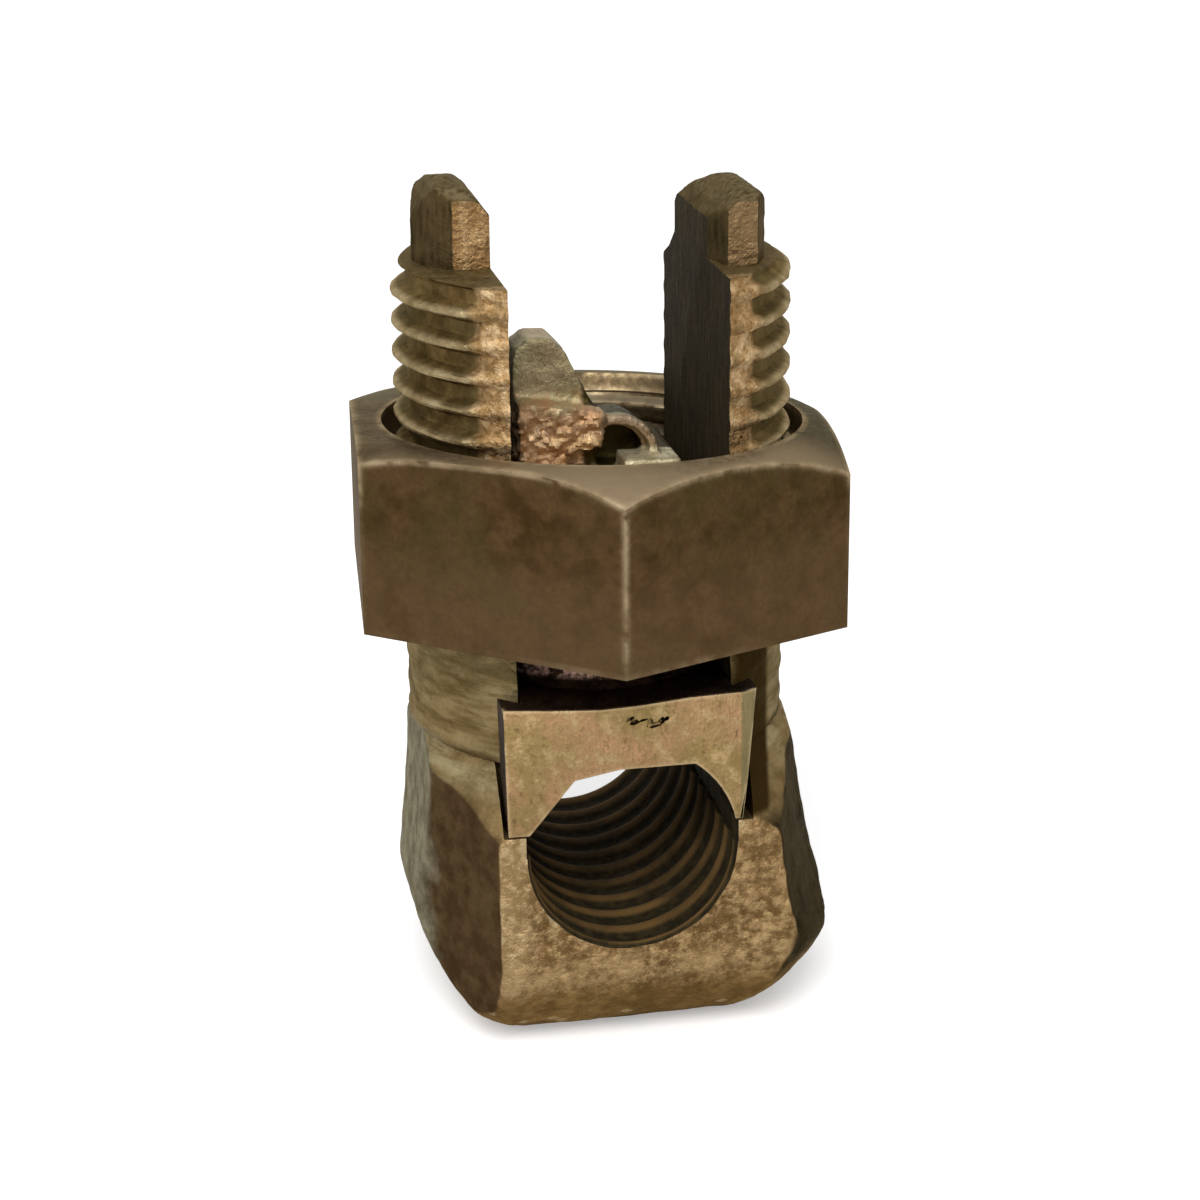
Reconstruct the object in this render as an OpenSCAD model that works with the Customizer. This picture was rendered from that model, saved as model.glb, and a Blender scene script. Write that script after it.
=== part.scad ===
// Split bolt connector for two runs of stranded wire.
// The wires lie in the round saddle of the slotted bolt. The nut turns on the two
// threaded legs and carries the pressure bar down the slot, onto the wires.
// Z runs up the bolt, the wires run along Y, the legs stand at -X and +X.

/* [Bolt thread] */
// Diameter over the thread crests
thread_d = 20.2; // [19:0.1:21]
// Height of one thread, 16 to the inch
pitch = 1.5875; // [1.4:0.0001:1.8]
// Height of the shoulders where the threaded legs end
leg_top = 39.3; // [37:0.1:42]

/* [Slot and saddle] */
// Width of the slot between the legs
slot_w = 10.8; // [10:0.1:11.4]
// Height of the saddle's axis above the base
saddle_z = 11.1; // [10.8:0.1:11.6]

/* [Forged head] */
// Depth of the head from the front face to the back face
head_depth = 19.7; // [19.5:0.1:20]
// Half the width of the head under the shank
head_top_half = 9.7; // [9.6:0.05:9.8]
// Half the width of the head where it flares widest
head_foot_half = 10.65; // [10.2:0.05:11]
// Radius that rolls the front, the back and the right side under to the base
head_roll = 5; // [3:0.1:5.4]
// Radius that rolls the left side under
left_roll = 7; // [5:0.1:7.4]
// How far the forging sits off the slot's centre, toward +X
head_shift = 0.4; // [0:0.05:0.5]
// Half-width of the front face on its narrow side
face_half_left = 6.6; // [6.4:0.05:7]
// Half-width of the front face on its wide side, under the shank
face_half_right = 6.9; // [6.6:0.05:7.4]
// How far the wide side leans out between the shank and the base
face_lean_right = 2.2; // [0:0.1:3]
// How far the corner faces run out between the front and the middle
corner_out = 5.15; // [5:0.05:5.6]
// The same on the right, under the shank
corner_out_right = 3.6; // [3.2:0.05:5]
// Radius that rounds all four lower corners
corner_roll = 6.5; // [5:0.1:7.5]

/* [Leg tips] */
// Radius of the turned-down tips
tip_r = 8.7; // [8:0.1:9]
// Height of the tip on the left leg
tip_top_left = 43.6; // [42:0.1:46]
// Height of the tip on the right leg
tip_top_right = 43; // [42:0.1:46]
// Front flat of the left tip, measured from the axis
tip_front_left = 3.8; // [3:0.1:5]
// Front flat of the right tip, measured from the axis
tip_front_right = 4.9; // [3:0.1:5]

/* [Nut] */
// Width across the flats, 15/16 inch
nut_af = 23.8125; // [23.5:0.0001:24]
// Height of the nut at its tallest edge
nut_h = 9.4; // [9.2:0.1:9.6]
// Height of the nut's underside above the base
nut_z = 22.05; // [22:0.05:22.4]
// How far the nut is turned from having a corner at the front
nut_turn = -4.5; // [-30:0.5:30]
// Diameter of the circle where the top chamfer starts
nut_chamfer_d = 24.4; // [23:0.1:25]
// Angle by which the facing cut runs down toward the back
facing_lean = 2.4; // [0:0.1:3]
// Angle by which it runs down toward +X
facing_lean_right = 0.9; // [0:0.1:2]
// How far the facing cut is off the nut's axis, toward -X
facing_off = 0.5; // [0:0.1:1]

/* [Pressure bar] */
// Height of the bar's lower corners above the base
bar_z = 12.3; // [12.25:0.01:12.6]
// Height of the bar's block
bar_h = 6.8; // [6:0.1:7.2]
// Half-width of the block's cheeks at the top
cheek_half_top = 6.4; // [6:0.05:6.4]
// How much narrower the left cheek is at the top
cheek_left_less = 0.35; // [0:0.05:0.4]
// Half-width of the block's cheeks at the lower corners
cheek_half_foot = 6; // [5.6:0.05:6.2]
// Height of the arch over the saddle's axis
arch_rise = 4.35; // [4:0.05:4.8]
// Height of the upstanding tongue above the base
tongue_top = 35.4; // [33:0.1:37]
// Height of the line where the rest of the post broke off
break_z = 31.25; // [31:0.05:31.5]

/* [Fits] */
// Gap on each side between parts that slide
side_gap = 0.1; // [0.05:0.01:0.15]
// Gap above and below the bar's flange in the nut
end_gap = 0.05; // [0.03:0.01:0.1]

/* [Hidden] */
$fn = 96;
eps = 0.01;
leg_r = thread_d / 2 - pitch / 4;       // plain legs, drawn at the thread's mid-depth
half_slot = slot_w / 2;
half_head = head_depth / 2;
saddle_r = half_slot;
bore_r = leg_r + 0.06;
seat_z = bar_z - 0.05;                  // floor of the pocket that each cheek comes down to
cone_foot_z = seat_z - 0.2;             // the turned cone from shank to head
cone_foot_r = norm([face_half_left, half_head]);
cone_top_z = 15.2;
bar_top = bar_z + bar_h;
half_bar = half_slot - side_gap;
flange_z = nut_z + 0.6;
flange_h = 1.6;
flange_r = bore_r + 0.95;
nut_top = nut_z + nut_h - nut_af / 2 * tan(facing_lean);   // on the nut's axis
nut_corner_r = nut_af / sqrt(3);

// Points of an arc from angle a0 to angle a1.
function arc(cx, cy, r, a0, a1, n = 10) =
    [for (i = [0:n]) let (a = a0 + (a1 - a0) * i / n) [cx + r * cos(a), cy + r * sin(a)]];

function flip(points) = [for (i = [len(points) - 1:-1:0]) [-points[i][0], points[i][1]]];

// Extrude an outline drawn in X and Z along Y, from y0 to y1.
module along_y(y0, y1) {
    translate([0, y1, 0]) rotate([90, 0, 0]) linear_extrude(y1 - y0) children();
}

// Extrude an outline drawn in Y and Z along X, from x0 to x1.
module along_x(x0, x1) {
    translate([x0, 0, 0]) rotate([90, 0, 90]) linear_extrude(x1 - x0) children();
}

// The part of a cylinder between two flats at x = -half and x = half.
module strip(r, half, z0, z1) {
    intersection() {
        translate([0, 0, z0]) cylinder(r = r, h = z1 - z0);
        translate([-half, -r - 1, z0]) cube([2 * half, 2 * r + 2, z1 - z0]);
    }
}

// Plan of the head at one height: the front and back faces between slanted corner faces.
module head_plan(face_right, out_right) {
    polygon([
        [-face_half_left, -half_head], [face_right, -half_head],
        [face_right + out_right, 0], [face_right, half_head],
        [-face_half_left, half_head], [-face_half_left - corner_out, 0]]);
}

// Head as it was forged: flared sides, flat faces, slanted corners, all rolled under to the base.
module forging() {
    top = cone_top_z + 2;
    right_side = concat(
        arc(head_foot_half + head_shift - head_roll, head_roll, head_roll, -90, -6),
        [[head_top_half + 0.65, 9.5], [head_top_half + 0.1, 14], [head_top_half, top]]);
    left_side = concat(
        arc(head_foot_half - head_shift - left_roll, left_roll, left_roll, -90, -6),
        [[head_top_half + 0.2, 9.5], [head_top_half, cone_top_z], [head_top_half, top]]);
    face = concat(
        arc(half_head - head_roll, head_roll, head_roll, -90, 0),
        [[half_head, top]]);
    intersection() {
        along_y(-half_head - 1, half_head + 1) polygon(concat(right_side, flip(left_side)));
        along_x(-20, 20) polygon(concat(face, flip(face)));
        hull() {
            linear_extrude(eps) head_plan(face_half_right + face_lean_right, corner_out);
            translate([0, 0, top]) linear_extrude(eps) head_plan(face_half_right, corner_out_right);
        }
    }
}

// Round limits of the head: rounded lower corners, and above them the steep cone that
// turning leaves from the shank down to the front corners.
module turned_blank() {
    rotate_extrude() polygon(concat(
        [[0, 0]], arc(corner_roll, corner_roll, corner_roll, -90, -5, 12),
        [[2 * corner_roll + 0.3, corner_roll + 1.3], [cone_foot_r + 2.9, cone_foot_z - 2.85],
         [cone_foot_r, cone_foot_z], [head_top_half + 0.15, cone_top_z],
         [leg_r, cone_top_z + 0.3], [0, cone_top_z + 0.3]]));
}

// Reduced tip above one leg's shoulder; side is -1 for the left leg and 1 for the right.
module leg_tip(side, top, front_y) {
    back_y = 3.9;
    outline = [
        [half_slot, leg_top - 1], [half_slot, top - 2.3], [half_slot + 1.5, top - 0.3],
        [tip_r - 1.2, top], [tip_r - 0.5, top - 0.4], [tip_r, top - 1.6], [tip_r, leg_top - 1]];
    profile = [
        [-front_y, leg_top - 1], [-front_y, top - 1.6], [-front_y + 1, top - 0.4], [0, top],
        [back_y - 1, top - 0.5], [back_y, top - 1.8], [back_y, leg_top - 1]];
    intersection() {
        mirror([side < 0 ? 1 : 0, 0, 0]) along_y(-tip_r, tip_r) polygon(outline);
        along_x(-tip_r - 1, tip_r + 1) polygon(profile);
        translate([0, 0, leg_top - 1]) cylinder(r = tip_r, h = top - leg_top + 2);
    }
}

// The bolt: head, saddle and two legs, all one forging.
module bolt_body() color("#8c6c3e") difference() {
    union() {
        difference() {
            intersection() {
                turned_blank();
                forging();
            }
            // pockets milled across the front and back for the bar's cheeks
            for (s = [-1, 1])
                translate([-cheek_half_top - side_gap, s > 0 ? 5 : -5 - half_head, seat_z])
                    cube([2 * (cheek_half_top + side_gap), half_head, cone_top_z]);
        }
        translate([0, 0, saddle_z]) cylinder(r = leg_r, h = leg_top - saddle_z);
        leg_tip(-1, tip_top_left, tip_front_left);
        leg_tip(1, tip_top_right, tip_front_right);
    }
    translate([-half_slot, -half_head - 1, saddle_z])
        cube([slot_w, head_depth + 2, tip_top_left]);
    translate([0, half_head + 1, saddle_z]) rotate([90, 0, 0])
        cylinder(r = saddle_r, h = head_depth + 2);
}

// Set a turned shape on the line of the facing cut, its origin at the nut's top.
module as_faced() {
    translate([0, 0, nut_top]) rotate([-facing_lean, facing_lean_right, 0]) children();
}

// Hexagon nut, faced and chamfered on top, with a groove inside that holds the bar's flange.
module hex_nut() color("#6e553a") difference() {
    intersection() {
        translate([0, 0, nut_z]) rotate([0, 0, nut_turn - 90])
            cylinder(r = nut_corner_r, h = nut_h + 0.5, $fn = 6);
        rotate_extrude() polygon([
            [0, nut_z], [nut_corner_r - 0.7, nut_z], [nut_corner_r, nut_z + 0.5],
            [nut_corner_r + 1, nut_z + 1.5], [nut_corner_r + 1, nut_top + 1], [0, nut_top + 1]]);
        translate([-facing_off, 0, 0]) as_faced() rotate_extrude() polygon([
            [0, -nut_h - 1], [nut_corner_r + 2, -nut_h - 1], [nut_corner_r + 2, -2.77],
            [nut_chamfer_d / 2, 0], [0, 0]]);
    }
    translate([0, 0, nut_z - 1]) cylinder(r = bore_r, h = nut_h + 2);
    // flange groove
    translate([0, 0, flange_z - end_gap])
        cylinder(r = flange_r + side_gap, h = flange_h + 2 * end_gap);
    // countersink at the mouth
    as_faced() rotate_extrude() polygon([
        [0, -1.2], [bore_r - 0.4, -1.2], [bore_r + 0.8, 0], [bore_r + 0.8, 1], [0, 1]]);
}

// Block that presses on the wires: cheeks outside the legs, arched notch below.
module bar_block() {
    arch_top = arch_rise + saddle_z;
    half_flat = sqrt(saddle_r * saddle_r - arch_rise * arch_rise);
    a_foot = asin((bar_z - saddle_z) / saddle_r);
    a_flat = asin(arch_rise / saddle_r);
    difference() {
        along_y(-half_head + 0.05, half_head - 0.05) polygon([
            [cheek_half_foot, bar_z], [cheek_half_top, bar_top],
            [cheek_left_less - cheek_half_top, bar_top], [-cheek_half_foot - 0.2, bar_z]]);
        along_y(-half_head, half_head) polygon(concat(
            [[-half_bar, bar_z - 1], [half_bar - 0.05, bar_z - 1]],
            arc(0, saddle_z, saddle_r, a_foot, a_flat, 8),
            [[-0.6, arch_top], [-half_flat + 0.3, arch_top - 0.4], [-half_bar + 0.1, bar_z]]));
        // the legs pass behind the cheeks
        for (s = [-1, 1])
            intersection() {
                translate([0, 0, bar_z - 1]) cylinder(r = leg_r + side_gap, h = bar_h + 2);
                translate([s > 0 ? half_bar : -half_bar - 5, -half_head, bar_z - 1])
                    cube([5, head_depth, bar_h + 2]);
            }
    }
}

// Torn top of the post: a tall tongue on the left that runs down into a low eye on the right.
module bar_tongue() {
    foot = break_z - 4;
    eye_x = 1.6;
    eye_z = foot + 2;
    eye_r = 2.2;
    along_y(-1.3, 1.4) polygon(concat(
        [[-4.3, foot], [eye_x + eye_r, foot]],
        arc(eye_x, eye_z, eye_r, 0, 100, 8),
        [[0.2, break_z + 0.1], [-0.4, break_z + 0.9], [-1, tongue_top - 1.9],
         [-1.6, tongue_top - 0.7], [-2.3, tongue_top - 0.05], [-3.4, tongue_top],
         [-4.1, tongue_top - 0.5], [-4.3, tongue_top - 1.4]]));
}

// Pressure bar with its neck, the flange that the nut carries, and the post between the legs.
module pressure_bar() color("#a48450") {
    post_top = break_z - 2.6;
    bar_block();
    strip(7.2, half_bar, bar_top - 1, flange_z + eps);
    strip(flange_r, half_bar, flange_z, flange_z + flange_h);
    strip(8, half_bar - 0.9, flange_z + flange_h - eps, post_top);
    difference() {
        bar_tongue();
        translate([1.9, -2, break_z - 1.6]) rotate([90, 0, 0]) cylinder(r = 0.9, h = 4, center = true);
    }
    // rough block in front of the tongue, and the low ledge beside it
    along_y(-2.7, -1.2) polygon([
        [-4.2, post_top - 1], [-1.9, post_top - 1], [-1.9, break_z - 1.4],
        [0.1, break_z - 1.2], [0.2, break_z + 0.5], [-1.2, break_z + 0.8], [-4.2, break_z + 1.2]]);
    along_y(-3.6, -1.2) polygon([
        [0.9, post_top - 1], [3.9, post_top - 1], [3.9, post_top + 0.8], [0.9, post_top + 0.9]]);
}

bolt_body();
hex_nut();
pressure_bar();
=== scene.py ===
import math

import bpy
from mathutils import Matrix, Vector, noise


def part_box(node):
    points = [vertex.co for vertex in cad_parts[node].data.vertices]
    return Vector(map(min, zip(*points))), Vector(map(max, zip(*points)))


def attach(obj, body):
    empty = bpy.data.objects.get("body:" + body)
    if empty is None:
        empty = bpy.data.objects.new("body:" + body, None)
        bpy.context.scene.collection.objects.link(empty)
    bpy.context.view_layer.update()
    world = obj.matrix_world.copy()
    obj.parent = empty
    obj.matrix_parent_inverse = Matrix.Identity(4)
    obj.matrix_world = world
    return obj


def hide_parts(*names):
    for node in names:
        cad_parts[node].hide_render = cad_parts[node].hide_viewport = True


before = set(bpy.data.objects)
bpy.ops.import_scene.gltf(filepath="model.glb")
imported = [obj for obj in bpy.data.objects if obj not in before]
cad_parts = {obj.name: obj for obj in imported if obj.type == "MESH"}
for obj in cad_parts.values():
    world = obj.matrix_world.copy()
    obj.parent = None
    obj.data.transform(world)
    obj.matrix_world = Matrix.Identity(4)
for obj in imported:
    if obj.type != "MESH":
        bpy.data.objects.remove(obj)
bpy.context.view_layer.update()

# ----------------------------------------------------------------------------
# Slotted bolt. The real one is a single bronze forging: a head with a ribbed wire
# saddle, its shank turned round and threaded, then slotted into two legs with
# reduced tips. Lengths are in millimetres, and mm turns them into metres.
# ----------------------------------------------------------------------------
mm = 0.001
pitch = 25.4 / 16
crest_r = 10.1      # outside of the thread
leg_top = 39.3      # the shoulders below the tips
half_slot = 5.4
saddle_z = 11.1     # axis of the wire saddle
half_head = 9.85    # front to back
seat_z = 12.25      # where the closed bar rests on the head


def picked(piece):
    """Makes a piece the only one selected, and the active one."""
    bpy.ops.object.select_all(action="DESELECT")
    piece.select_set(True)
    bpy.context.view_layer.objects.active = piece


def ringed(piece, cuts):
    """Divides every edge that isn't level, which gives a piece rings of points."""
    picked(piece)
    bpy.ops.object.mode_set(mode="EDIT")
    bpy.ops.mesh.select_mode(type="EDGE")
    bpy.ops.mesh.select_all(action="DESELECT")
    bpy.ops.object.mode_set(mode="OBJECT")
    points = piece.data.vertices
    for edge in piece.data.edges:
        low, high = edge.vertices
        edge.select = abs(points[low].co.z - points[high].co.z) > 1e-6
    bpy.ops.object.mode_set(mode="EDIT")
    bpy.ops.mesh.subdivide(number_cuts=cuts)
    bpy.ops.object.mode_set(mode="OBJECT")


def closed(piece):
    """Merges the seams of a shape and turns its faces outwards."""
    bpy.ops.mesh.select_all(action="SELECT")
    bpy.ops.mesh.remove_doubles(threshold=1e-7)
    bpy.ops.mesh.normals_make_consistent(inside=False)
    bpy.ops.object.mode_set(mode="OBJECT")
    return piece


def sawn(name, outline, along, start, end, end_outline=None):
    """A bar with this outline, from start to end along X, Y or Z; the far end may have its own outline."""
    def place(a, b, c):
        return Vector({"X": (c, a, b), "Y": (a, c, b), "Z": (a, b, c)}[along]) * mm

    bpy.ops.object.select_all(action="DESELECT")
    bpy.ops.mesh.primitive_circle_add(vertices=len(outline), fill_type="NGON")
    piece = bpy.context.object
    piece.name = piece.data.name = name
    for vertex, (a, b) in zip(piece.data.vertices, outline):
        vertex.co = place(a, b, start)
    bpy.ops.object.mode_set(mode="EDIT")
    bpy.ops.mesh.select_all(action="SELECT")
    bpy.ops.mesh.extrude_region_move(TRANSFORM_OT_translate={"value": place(0, 0, end - start)})
    bpy.ops.object.mode_set(mode="OBJECT")
    if end_outline:
        for vertex, (a, b) in zip(list(piece.data.vertices)[len(outline):], end_outline):
            vertex.co = place(a, b, end)
    bpy.ops.object.mode_set(mode="EDIT")
    return closed(piece)


def turned(name, profile, steps=144, centre=(0, 0, 0), along="Z"):
    """A turned shape: a closed outline of (radius, height) spun round its axis."""
    bpy.ops.object.select_all(action="DESELECT")
    bpy.ops.mesh.primitive_circle_add(vertices=len(profile), fill_type="NOTHING")
    piece = bpy.context.object
    piece.name = piece.data.name = name
    axis = Vector((0, 1, 0) if along == "Y" else (0, 0, 1))
    centre = Vector(centre) * mm
    for vertex, (r, h) in zip(piece.data.vertices, profile):
        vertex.co = centre + Vector((r, 0, 0)) * mm + axis * h * mm
    bpy.ops.object.mode_set(mode="EDIT")
    bpy.ops.mesh.select_all(action="SELECT")
    bpy.ops.mesh.spin(steps=steps, angle=math.tau, center=centre, axis=axis)
    return closed(piece)


def block(name, low, high):
    """A plain rectangular tool between two corners."""
    return sawn(name, [(low[0], low[1]), (high[0], low[1]), (high[0], high[1]), (low[0], high[1])],
                "Z", low[2], high[2])


def worked(piece, tool, how="DIFFERENCE"):
    """Cuts a tool's shape away from a piece, keeps only what both share, or joins it on."""
    step = piece.modifiers.new("work", "BOOLEAN")
    step.operation = how
    step.solver = "MANIFOLD"
    step.object = tool
    bpy.context.view_layer.objects.active = piece
    bpy.ops.object.modifier_apply(modifier=step.name)
    bpy.data.objects.remove(tool)
    return piece


def softened(piece, grain, rounds, dents=()):
    """Gives a piece an even skin, rounds its edges, and dents it by each (size, height)."""
    bpy.context.view_layer.objects.active = piece
    skin = piece.modifiers.new("skin", "REMESH")
    skin.mode = "VOXEL"
    skin.voxel_size = grain * mm
    bpy.ops.object.modifier_apply(modifier=skin.name)
    ease = piece.modifiers.new("ease", "SMOOTH")
    ease.factor = 0.5
    ease.iterations = rounds
    bpy.ops.object.modifier_apply(modifier=ease.name)
    for n, (size, height) in enumerate(dents):
        pattern = bpy.data.textures.new(f"{piece.name}_dents_{n}", "CLOUDS")
        pattern.noise_scale = size * mm
        pattern.noise_depth = 2
        press = piece.modifiers.new("press", "DISPLACE")
        press.texture = pattern
        press.strength = height * mm
        bpy.ops.object.modifier_apply(modifier=press.name)
    return piece


def arc(cx, cy, r, start, end, count):
    """Points of an arc in the drawing plane, between two angles in degrees."""
    angles = [math.radians(start + (end - start) * i / count) for i in range(count + 1)]
    return [(cx + r * math.cos(a), cy + r * math.sin(a)) for a in angles]


def kept_in(value):
    """A number kept between 0 and 1."""
    return min(1, max(0, value))


def thread_valley(x, y, z):
    """0 on a crest of the thread, 1 in a valley. Right-hand, one crest passing z 39.42 at 169 degrees."""
    turn = math.atan2(y, x) / math.tau
    at = (z - 39.42) / pitch - turn + 169 / 360
    s = kept_in((abs(at - round(at)) * 2 - 0.08) / 0.54)
    return s * s * (3 - 2 * s)


def threaded(name, foot, top, rings, radius):
    """A rod whose skin is fine enough to carry the thread; radius gives its size at each point."""
    bpy.ops.object.select_all(action="DESELECT")
    bpy.ops.mesh.primitive_cylinder_add(vertices=180, radius=crest_r * mm, depth=(top - foot) * mm,
                                        location=(0, 0, (top + foot) / 2 * mm))
    piece = bpy.context.object
    piece.name = piece.data.name = name
    bpy.ops.object.transform_apply(location=True)
    for cuts in rings:
        ringed(piece, cuts)
    for vertex in piece.data.vertices:
        x, y, z = vertex.co / mm
        grow = radius(x, y, z) / math.hypot(x, y)
        vertex.co = Vector((x * grow, y * grow, z)) * mm
    return piece


def leg_radius(x, y, z):
    """The legs' thread: faint below the nut, ragged, worn flat beside the slot, bevelled at the top."""
    whole = kept_in((z - 20.5) / 2.5)
    worn = 0.5 + 0.5 * noise.noise(Vector((x * 0.35, y * 0.35, z * 0.5)))
    valley = thread_valley(x, y, z)
    across, along = abs(x) / math.hypot(x, y), abs(y) / math.hypot(x, y)
    clear = kept_in((across - 0.655 + 0.03 * worn) / 0.07)
    depth = (0.07 + 0.69 * whole) * (0.2 + 0.8 * clear)
    ragged = 0.05 * noise.noise(Vector((x, y, z * 1.3)) * 1.1)
    skin = crest_r - 0.3 * (1 - whole) - 0.14 * worn - depth * valley + ragged
    # the corners beside the slot are worn to a flat, with the turns showing as faint ticks
    started = kept_in((z - 16.5) / 4.5)
    flat = (10.06 + 1.4 * (1 - started)) / (along + 0.46 * across) - 0.17 * valley * whole
    bevel = 9.45 + (leg_top - z) * 1.1
    root = 9.4 if z < 15.3 else 99
    return min(skin, flat, bevel, root)


# the head: the cone that turning left, kept within the forging's side, face and plan outlines
die_top = 17.2
head = turned("head", [(0, 0)] + arc(6.5, 6.5, 6.5, -90, -5, 12)
              + [(13.3, 7.8), (14.8, 9.2), (11.86, 12.05), (9.85, 15.2), (9.7, 15.5), (0, 15.5)])
side_left = arc(-3.25, 7, 7, -90, -174, 10)
side_left += [(-9.84, 9.3), (-9.62, 10.8), (-9.45, 12.3), (-9.36, 15.3), (-9.36, die_top)]
side_right = arc(5.95, 5.4, 5.4, -90, -5, 12)
side_right += [(11.3, 6.2), (10.8, 8.2), (10.3, 10.6), (9.8, 14), (9.7, die_top)]
head = worked(head, sawn("side_die", side_right + side_left[::-1], "Y", -11, 11), "INTERSECT")
half_face = arc(half_head - 5, 5, 5, -90, 0, 10) + [(half_head, die_top)]
head = worked(head, sawn("face_die", half_face + [(-y, z) for y, z in reversed(half_face)], "X", -20, 20),
              "INTERSECT")
face_left = -6.78


def head_plan(face_right, corner_out):
    """The head seen from above: front and back faces between slanted corner faces."""
    return [(face_left, -half_head), (face_right, -half_head), (face_right + corner_out, 0),
            (face_right, half_head), (face_left, half_head), (face_left - 5.15, 0)]


# the right corner faces swell a little, most at z 4.6
swell_z = 4.6
corner_die = sawn("corner_die", head_plan(9.1, 5.15), "Z", 0, die_top, head_plan(6.9, 3.6))
ringed(corner_die, 17)
for vertex in corner_die.data.vertices:
    if vertex.co.x > 0:
        z = vertex.co.z / mm
        vertex.co.x += (0.3 + 0.087 * z if z < swell_z else max(0, 0.7 - 0.28 * (z - swell_z))) * mm
head = worked(head, corner_die, "INTERSECT")
head = softened(head, 0.24, 7, dents=((3.0, 0.16), (0.9, 0.09)))
for vertex in head.data.vertices:
    vertex.co.z = max(vertex.co.z, 0)
cheek = [(-6.5, seat_z), (6.15, seat_z), (6.7, 18), (6.7, 25), (-6.5, 25)]
for side in (-1, 1):
    head = worked(head, sawn("cheek_pocket", cheek, "Y", 5 * side, 15 * side))

bolt = threaded("slotted_bolt", saddle_z, leg_top, (14, 13), leg_radius)
bolt = worked(bolt, head, "UNION")


def leg_tip(side, top, plan, ridge):
    """What is left above a shoulder: sides filed to facets, top hammered to a dome."""
    foot = leg_top - 1
    dome = [(5.3, foot), (5.3, top - 1.8), (5.95, top - 0.85), (6.6, top - 0.25), (7.3, top),
            (7.95, top - 0.3), (8.5, top - 1.0), (8.95, top - 2.2), (8.95, foot)]
    tip = sawn("leg_tip", [(x * side, y) for x, y in plan], "Z", foot, top + 1)
    tip = worked(tip, sawn("tip_dome", [(x * side, z) for x, z in dome], "Y", -9, 9), "INTERSECT")
    ridge = [(y, top - drop) for y, drop in ridge]
    ridge = [(ridge[0][0], foot)] + ridge + [(ridge[-1][0], foot)]
    tip = worked(tip, sawn("tip_ridge", ridge, "X", -9.5, 9.5), "INTERSECT")
    return softened(tip, 0.15, 4, dents=((0.8, 0.1),))


left_tip = leg_tip(-1, 43.55,
                   [(5.2, -2.3), (7.15, -2.3), (8.4, -1.3), (8.95, 0.3), (8.7, 2.2), (8.0, 3.9), (5.2, 3.9)],
                   [(-2.3, 0.9), (-1.6, 0.3), (0, 0), (2.2, 0.3), (3.2, 0.9), (3.9, 2.0)])
bolt = worked(bolt, left_tip, "UNION")
right_tip = leg_tip(1, 42.95,
                    [(5.2, -1.2), (5.9, -4.5), (7.5, -4.5), (8.3, -2.6), (8.65, 0), (8.4, 2.6), (7.6, 4.9),
                     (5.2, 4.9)],
                    [(-4.5, 0.5), (-3.6, 0.15), (-1.5, 0), (1.5, 0.15), (3.5, 0.9), (4.9, 2.1)])
bolt = worked(bolt, right_tip, "UNION")

# the slot, the right leg's broken back shoulder, then the saddle with its rounded ribs
bolt = worked(bolt, block("slot_cutter", (-half_slot, -12, seat_z - 0.001), (half_slot, 12, 46)))
broken = [(4.9, 39.2), (6.2, 38.2), (9.5, 36.7), (12, 41), (4.9, 41)]
bolt = worked(bolt, sawn("broken_shoulder", broken, "X", half_slot, 11))
bolt = worked(bolt, block("slot_foot", (-half_slot, -12, saddle_z), (half_slot, 12, 20)))
ribs = [(0, -12), (7.0, -12), (half_slot, -half_head - 0.05), (half_slot - 0.22, -half_head + 0.3)]
for n in range(10):
    y = -half_head + 0.45 + n * 1.9
    ribs += [(half_slot - 0.2, y), (half_slot - 0.05, y + 0.3), (half_slot, y + 0.6),
             (half_slot - 0.05, y + 0.9), (half_slot - 0.2, y + 1.2), (half_slot - 0.28, y + 1.55)]
ribs += [(half_slot - 0.22, half_head - 0.3), (half_slot, half_head + 0.05), (7.0, 12), (0, 12)]
bolt = worked(bolt, turned("saddle_cutter", ribs, steps=128, centre=(0, 0, saddle_z), along="Y"))


def lay(tree, kind, sockets=(), **settings):
    """Adds a node to a finish; each socket gets a plain value or another node's output."""
    node = tree.nodes.new(kind)
    for name, value in settings.items():
        setattr(node, name, value)
    for name, value in dict(sockets).items():
        if isinstance(value, bpy.types.NodeSocket):
            tree.links.new(value, node.inputs[name])
        else:
            node.inputs[name].default_value = value
    return node


def span(tree, value, low, high):
    """0 below low, 1 above high, smooth between; the other way round where low is the larger."""
    steps = {"Value": value, "From Min": min(low, high), "From Max": max(low, high)}
    if low > high:
        steps.update({"To Min": 1.0, "To Max": 0.0})
    return lay(tree, "ShaderNodeMapRange", steps, interpolation_type="SMOOTHSTEP").outputs[0]


def times(tree, *values):
    """The product of several masks."""
    product = values[0]
    for value in values[1:]:
        product = lay(tree, "ShaderNodeMath", {0: product, 1: value}, operation="MULTIPLY").outputs[0]
    return product


def plus(tree, base, value, share):
    """A share of one number added to another."""
    return lay(tree, "ShaderNodeMath", {0: value, 1: share, 2: base}, operation="MULTIPLY_ADD").outputs[0]


def either(tree, one, other):
    """The stronger of two masks."""
    return lay(tree, "ShaderNodeMath", {0: one, 1: other}, operation="MAXIMUM").outputs[0]


def unsigned(tree, value):
    """A number without its sign, which gives both sides of the bolt the same."""
    return lay(tree, "ShaderNodeMath", {0: value}, operation="ABSOLUTE").outputs[0]


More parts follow.
